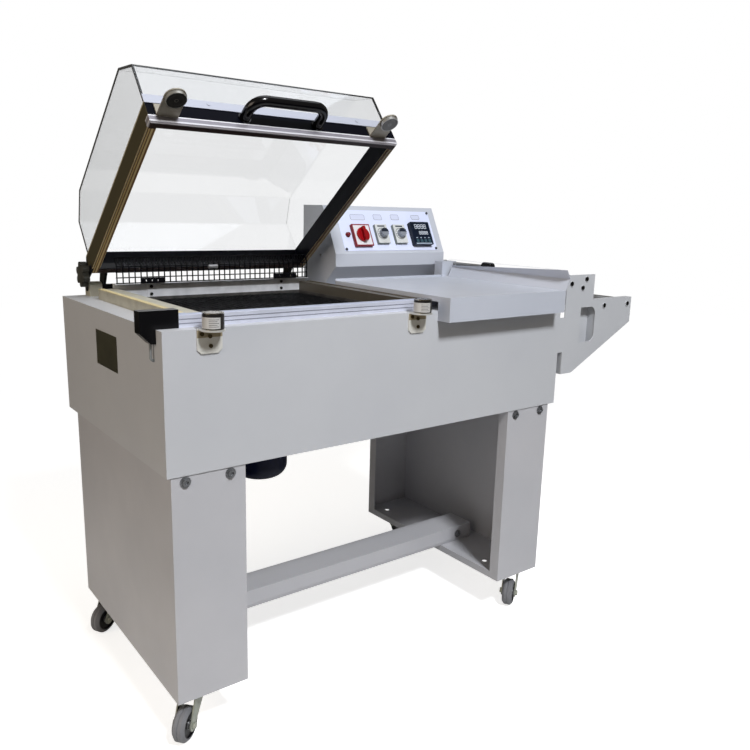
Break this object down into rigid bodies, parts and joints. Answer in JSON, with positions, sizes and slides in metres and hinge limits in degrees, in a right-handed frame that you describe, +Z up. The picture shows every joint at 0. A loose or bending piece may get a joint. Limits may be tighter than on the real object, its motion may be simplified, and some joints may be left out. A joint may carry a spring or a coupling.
{
  "type": "l bar sealer",
  "caption": "Floor-standing L bar sealer with a clear swing-up hood over a shrink chamber, a work tray, a slanted control box, a film rack and casters.",
  "frame": {"origin": "middle of the footprint's bounding box, on the floor under the casters", "axes": "+X right along the front, +Y back, +Z up"},
  "size_m": [1.419, 0.6756, 1.3263],
  "materials": {
    "cabinet_paint": "satin light grey",
    "leg_paint": "satin light grey",
    "tray_paint": "satin light grey",
    "box_paint": "satin light grey",
    "motor_paint": "satin dark navy",
    "zinc": "zinc plated",
    "stainless": "brushed",
    "dark_steel": "heat-darkened",
    "aluminium": "brushed",
    "black_metal": "satin black",
    "black_plastic": "matte black",
    "strip_rubber": "matte",
    "seal_rubber": "matte brown",
    "grey_cable": "matte grey",
    "plate_metal": "dark, bare",
    "panel_film": "satin",
    "switch_white": "gloss",
    "red_plastic": "gloss",
    "lamp_red": "gloss",
    "meter_plastic": "satin",
    "key_plastic": "matte",
    "clear_hood": "clear acrylic",
    "tyre_grey": "matte grey"
  },
  "bodies": {
    "base": {"cabinet_shell": "cabinet_paint", "top_deck": "cabinet_paint", "floor_pan": "cabinet_paint", "leg_left": "leg_paint", "leg_right": "leg_paint", "cross_beam": "leg_paint", "leg_bolts": "zinc", "chamber_tub": "stainless", "heater_elements": "dark_steel", "fan_motor": "motor_paint", "chamber_grid": "dark_steel", "rear_baffle": "stainless", "mesh_guard": "black_metal", "seal_bars": "aluminium", "left_rest_bar": "aluminium", "seal_strips": "strip_rubber", "corner_cover": "black_plastic", "corner_cable": "grey_cable", "magnets": "zinc", "magnet_brackets": "cabinet_paint", "small_screws": "zinc", "nameplate": "plate_metal", "control_box": "box_paint", "panel_plate": "panel_film", "switch_plates": "switch_white", "temperature_controller": "meter_plastic", "pilot_lamp": "lamp_red", "tray": "tray_paint", "film_rack_rear_plate": "cabinet_paint", "film_rods": "zinc", "caster_plates": "zinc", "hinge_blocks": "aluminium", "cable_gland": "black_plastic"},
    "lid": {"lid_frame": "aluminium", "lid_channel": "black_metal", "lid_seal": "seal_rubber", "lid_hood": "clear_hood", "lid_handle": "black_plastic", "armatures": "black_metal", "lid_hinge": "black_metal"},
    "star_knob": {"star_knob": "black_plastic"},
    "fan": {"fan_impeller": "zinc"},
    "main_switch": {"main_switch_knob": "red_plastic"},
    "timer_left": {"timer_knob_left": "black_plastic"},
    "timer_right": {"timer_knob_right": "black_plastic"},
    "tray_lock": {"tray_lock_knob": "black_plastic"},
    "roller_inner": {"film_roller_inner": "aluminium"},
    "roller_outer": {"film_roller_outer": "aluminium"},
    "key_1": {"key_1": "key_plastic"},
    "key_2": {"key_2": "key_plastic"},
    "key_3": {"key_3": "key_plastic"},
    "key_4": {"key_4": "key_plastic"},
    "fork_front_left": {"fork_front_left": "zinc"},
    "wheel_front_left": {"wheel_front_left": "tyre_grey"},
    "fork_rear_left": {"fork_rear_left": "zinc"},
    "wheel_rear_left": {"wheel_rear_left": "tyre_grey"},
    "fork_front_right": {"fork_front_right": "zinc"},
    "wheel_front_right": {"wheel_front_right": "tyre_grey"},
    "fork_rear_right": {"fork_rear_right": "zinc"},
    "wheel_rear_right": {"wheel_rear_right": "tyre_grey"}
  },
  "joints": [
    {"name": "lid_swing", "type": "hinge", "parent": "base", "child": "lid", "pos_m": [-0.3345, 0.30218, 0.864], "axis": [1, 0, 0], "range_deg": [0, 37.4]},
    {"name": "star_knob_turn", "type": "hinge", "parent": "lid", "child": "star_knob", "pos_m": [-0.6285, 0.29129, 0.8975], "axis": [1, 0, 0], "continuous": true},
    {"name": "fan_spin", "type": "hinge", "parent": "base", "child": "fan", "pos_m": [-0.332, -0.01132, 0.673], "axis": [0, 0, 1], "continuous": true},
    {"name": "tray_lock_turn", "type": "hinge", "parent": "base", "child": "tray_lock", "pos_m": [0.3965, 0.11718, 0.915], "axis": [0, 1, 0], "continuous": true},
    {"name": "main_switch_turn", "type": "hinge", "parent": "base", "child": "main_switch", "pos_m": [0.09746, 0.18044, 0.99151], "axis": [0, -0.8944, 0.4472], "range_deg": [0, 90]},
    {"name": "timer_left_turn", "type": "hinge", "parent": "base", "child": "timer_left", "pos_m": [0.16954, 0.18222, 0.99509], "axis": [0, -0.8944, 0.4472], "range_deg": [-150, 150]},
    {"name": "timer_right_turn", "type": "hinge", "parent": "base", "child": "timer_right", "pos_m": [0.2355, 0.18222, 0.99509], "axis": [0, -0.8944, 0.4472], "range_deg": [-150, 150]},
    {"name": "key_1_press", "type": "slide", "parent": "base", "child": "key_1", "axis": [0, 0.8944, -0.4472], "range_m": [0, 0.0015], "stiffness_N_per_m": 400},
    {"name": "key_2_press", "type": "slide", "parent": "base", "child": "key_2", "axis": [0, 0.8944, -0.4472], "range_m": [0, 0.0015], "stiffness_N_per_m": 400},
    {"name": "key_3_press", "type": "slide", "parent": "base", "child": "key_3", "axis": [0, 0.8944, -0.4472], "range_m": [0, 0.0015], "stiffness_N_per_m": 400},
    {"name": "key_4_press", "type": "slide", "parent": "base", "child": "key_4", "axis": [0, 0.8944, -0.4472], "range_m": [0, 0.0015], "stiffness_N_per_m": 400},
    {"name": "roller_inner_spin", "type": "hinge", "parent": "base", "child": "roller_inner", "pos_m": [0.5845, -0.29782, 0.824], "axis": [0, 1, 0], "continuous": true},
    {"name": "roller_outer_spin", "type": "hinge", "parent": "base", "child": "roller_outer", "pos_m": [0.6905, -0.29782, 0.824], "axis": [0, 1, 0], "continuous": true},
    {"name": "swivel_front_left", "type": "hinge", "parent": "base", "child": "fork_front_left", "pos_m": [-0.6239, -0.25222, 0.087], "axis": [0, 0, 1], "continuous": true},
    {"name": "roll_front_left", "type": "hinge", "parent": "fork_front_left", "child": "wheel_front_left", "pos_m": [-0.65188, -0.27487, 0.0355], "axis": [0.6293, -0.7771, 0], "continuous": true},
    {"name": "swivel_rear_left", "type": "hinge", "parent": "base", "child": "fork_rear_left", "pos_m": [-0.6239, 0.24088, 0.087], "axis": [0, 0, 1], "continuous": true},
    {"name": "roll_rear_left", "type": "hinge", "parent": "fork_rear_left", "child": "wheel_rear_left", "pos_m": [-0.65569, 0.22398, 0.0355], "axis": [0.4695, -0.8829, 0], "continuous": true},
    {"name": "swivel_front_right", "type": "hinge", "parent": "base", "child": "fork_front_right", "pos_m": [0.3329, -0.25222, 0.087], "axis": [0, 0, 1], "continuous": true},
    {"name": "roll_front_right", "type": "hinge", "parent": "fork_front_right", "child": "wheel_front_right", "pos_m": [0.30271, -0.27183, 0.0355], "axis": [0.5446, -0.8387, 0], "continuous": true},
    {"name": "swivel_rear_right", "type": "hinge", "parent": "base", "child": "fork_rear_right", "pos_m": [0.3329, 0.24088, 0.087], "axis": [0, 0, 1], "continuous": true},
    {"name": "roll_rear_right", "type": "hinge", "parent": "fork_rear_right", "child": "wheel_rear_right", "pos_m": [0.34403, 0.27512, 0.0355], "axis": [-0.9511, 0.309, 0], "continuous": true}
  ]
}
